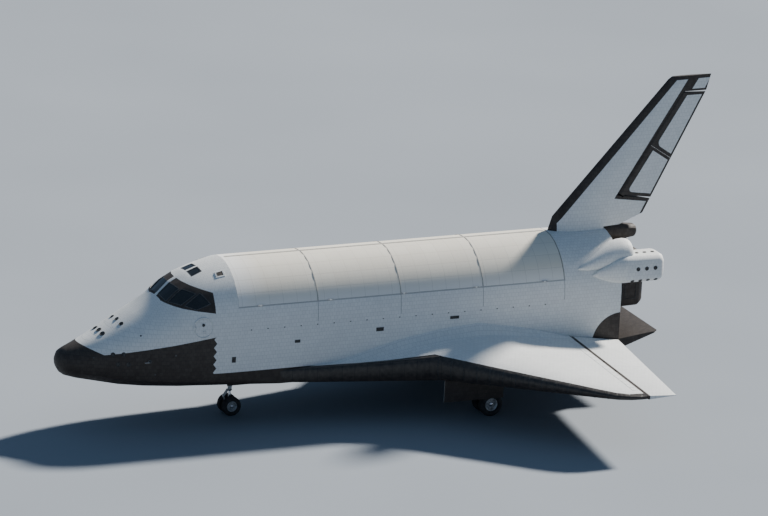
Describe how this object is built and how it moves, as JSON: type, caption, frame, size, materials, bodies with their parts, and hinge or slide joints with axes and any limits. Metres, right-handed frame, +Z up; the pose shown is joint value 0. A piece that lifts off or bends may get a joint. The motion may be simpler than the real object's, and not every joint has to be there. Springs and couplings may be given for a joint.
{
  "type": "space shuttle orbiter",
  "caption": "Winged space shuttle orbiter on landing gear, with opening payload doors, crew hatch, elevons, body flap, split rudder and turning wheels.",
  "frame": {"origin": "on the ground, under the middle of the overall length and on the plane of symmetry", "axes": "+X aft, +Y starboard, +Z up; the craft stands level on its wheels"},
  "size_m": [36.37, 23.92, 16.35],
  "materials": {
    "white_tile": "matt white ceramic tile",
    "blanket": "matt cream heat blanket",
    "black_tile": "satin black ceramic tile",
    "carbon": "dark brown-black carbon",
    "glass": "dark glossy glass",
    "steel": "satin",
    "nozzle_metal": "heat-darkened metal",
    "cabin_grey": "matt grey-green",
    "tyre": "matt black"
  },
  "bodies": {
    "orbiter": {"aft_fuselage": "white_tile", "corner_pane_left": "glass", "corner_pane_right": "glass", "engine_block": "black_tile", "engine_nozzle_left": "nozzle_metal", "engine_nozzle_right": "nozzle_metal", "fin": "white_tile", "flight_deck": "cabin_grey", "forward_fuselage": "white_tile", "leading_edge_left": "carbon", "leading_edge_right": "carbon", "main_gear_door_left": "white_tile", "main_gear_door_right": "white_tile", "main_leg_left": "steel", "main_leg_right": "steel", "mid_fuselage": "white_tile", "nose_cap": "carbon", "nose_gear_door_left": "white_tile", "nose_gear_door_right": "white_tile", "nose_leg": "steel", "overhead_pane_left": "glass", "overhead_pane_right": "glass", "parachute_housing": "black_tile", "side_pane_left": "glass", "side_pane_right": "glass", "thruster_pod_left": "white_tile", "thruster_pod_right": "white_tile", "windscreen_left": "glass", "windscreen_right": "glass", "wing_left": "white_tile", "wing_right": "white_tile"},
    "payload_door_right": {"payload_door_right": "blanket"},
    "payload_door_left": {"payload_door_left": "blanket"},
    "crew_hatch": {"crew_hatch": "white_tile"},
    "elevon_inner_right": {"elevon_inner_right": "white_tile"},
    "elevon_inner_left": {"elevon_inner_left": "white_tile"},
    "elevon_outer_right": {"elevon_outer_right": "white_tile"},
    "elevon_outer_left": {"elevon_outer_left": "white_tile"},
    "body_flap": {"body_flap": "black_tile"},
    "rudder": {"rudder_spindle": "steel"},
    "rudder_right_panels": {"rudder_lower_right": "white_tile", "rudder_upper_right": "white_tile"},
    "rudder_left_panels": {"rudder_lower_left": "white_tile", "rudder_upper_left": "white_tile"},
    "nose_steering": {"nose_steering_leg": "steel"},
    "nose_wheel_pair": {"nose_wheels": "steel", "nose_tyre_left": "tyre", "nose_tyre_right": "tyre"},
    "main_wheel_pair_right": {"main_wheels_right": "steel", "main_outer_tyre_right": "tyre", "main_inner_tyre_right": "tyre"},
    "main_wheel_pair_left": {"main_wheels_left": "steel", "main_outer_tyre_left": "tyre", "main_inner_tyre_left": "tyre"}
  },
  "joints": [
    {"name": "payload_door_right_hinge", "type": "hinge", "parent": "orbiter", "child": "payload_door_right", "pos_m": [-0.085, 2.633, 6.6], "axis": [-1, 0, 0], "range_deg": [0, 175]},
    {"name": "payload_door_left_hinge", "type": "hinge", "parent": "orbiter", "child": "payload_door_left", "pos_m": [-0.085, -2.633, 6.6], "axis": [1, 0, 0], "range_deg": [0, 175]},
    {"name": "crew_hatch_hinge", "type": "hinge", "parent": "orbiter", "child": "crew_hatch", "pos_m": [-11.68, -2.61, 5.66], "axis": [0, 0, -1], "range_deg": [0, 100]},
    {"name": "elevon_inner_right_hinge", "type": "hinge", "parent": "orbiter", "child": "elevon_inner_right", "pos_m": [9.615, 5, 3.09], "axis": [0, 1, 0], "range_deg": [-35, 20]},
    {"name": "elevon_inner_left_hinge", "type": "hinge", "parent": "orbiter", "child": "elevon_inner_left", "pos_m": [9.615, -5, 3.09], "axis": [0, 1, 0], "range_deg": [-35, 20]},
    {"name": "elevon_outer_right_hinge", "type": "hinge", "parent": "orbiter", "child": "elevon_outer_right", "pos_m": [9.615, 9.6, 3.09], "axis": [0, 1, 0], "range_deg": [-35, 20]},
    {"name": "elevon_outer_left_hinge", "type": "hinge", "parent": "orbiter", "child": "elevon_outer_left", "pos_m": [9.615, -9.6, 3.09], "axis": [0, 1, 0], "range_deg": [-35, 20]},
    {"name": "body_flap_hinge", "type": "hinge", "parent": "orbiter", "child": "body_flap", "pos_m": [12.615, 0, 2.79], "axis": [0, 1, 0], "range_deg": [-3, 34.5]},
    {"name": "rudder_hinge", "type": "hinge", "parent": "orbiter", "child": "rudder", "pos_m": [13.165, 0, 10.15], "axis": [0.5467, 0, 0.8373], "range_deg": [-23, 23]},
    {"name": "speed_brake_right", "type": "hinge", "parent": "rudder", "child": "rudder_right_panels", "pos_m": [13.165, 0, 10.15], "axis": [0.5467, 0, 0.8373], "range_deg": [0, 43.5]},
    {"name": "speed_brake_left", "type": "hinge", "parent": "rudder", "child": "rudder_left_panels", "pos_m": [13.165, 0, 10.15], "axis": [0.5467, 0, 0.8373], "range_deg": [-43.5, 0]},
    {"name": "nose_steering_turn", "type": "hinge", "parent": "orbiter", "child": "nose_steering", "pos_m": [-8.435, 0, 1.46], "axis": [0, 0, 1], "range_deg": [-30, 30]},
    {"name": "nose_wheel_spin", "type": "hinge", "parent": "nose_steering", "child": "nose_wheel_pair", "pos_m": [-8.435, 0, 0.506], "axis": [0, 1, 0], "continuous": true},
    {"name": "main_wheel_spin_right", "type": "hinge", "parent": "orbiter", "child": "main_wheel_pair_right", "pos_m": [4.565, 3.5, 0.63], "axis": [0, 1, 0], "continuous": true},
    {"name": "main_wheel_spin_left", "type": "hinge", "parent": "orbiter", "child": "main_wheel_pair_left", "pos_m": [4.565, -3.5, 0.63], "axis": [0, 1, 0], "continuous": true}
  ],
  "couplings": [
    {"joint": "speed_brake_left", "follows": "speed_brake_right", "ratio": -1}
  ]
}
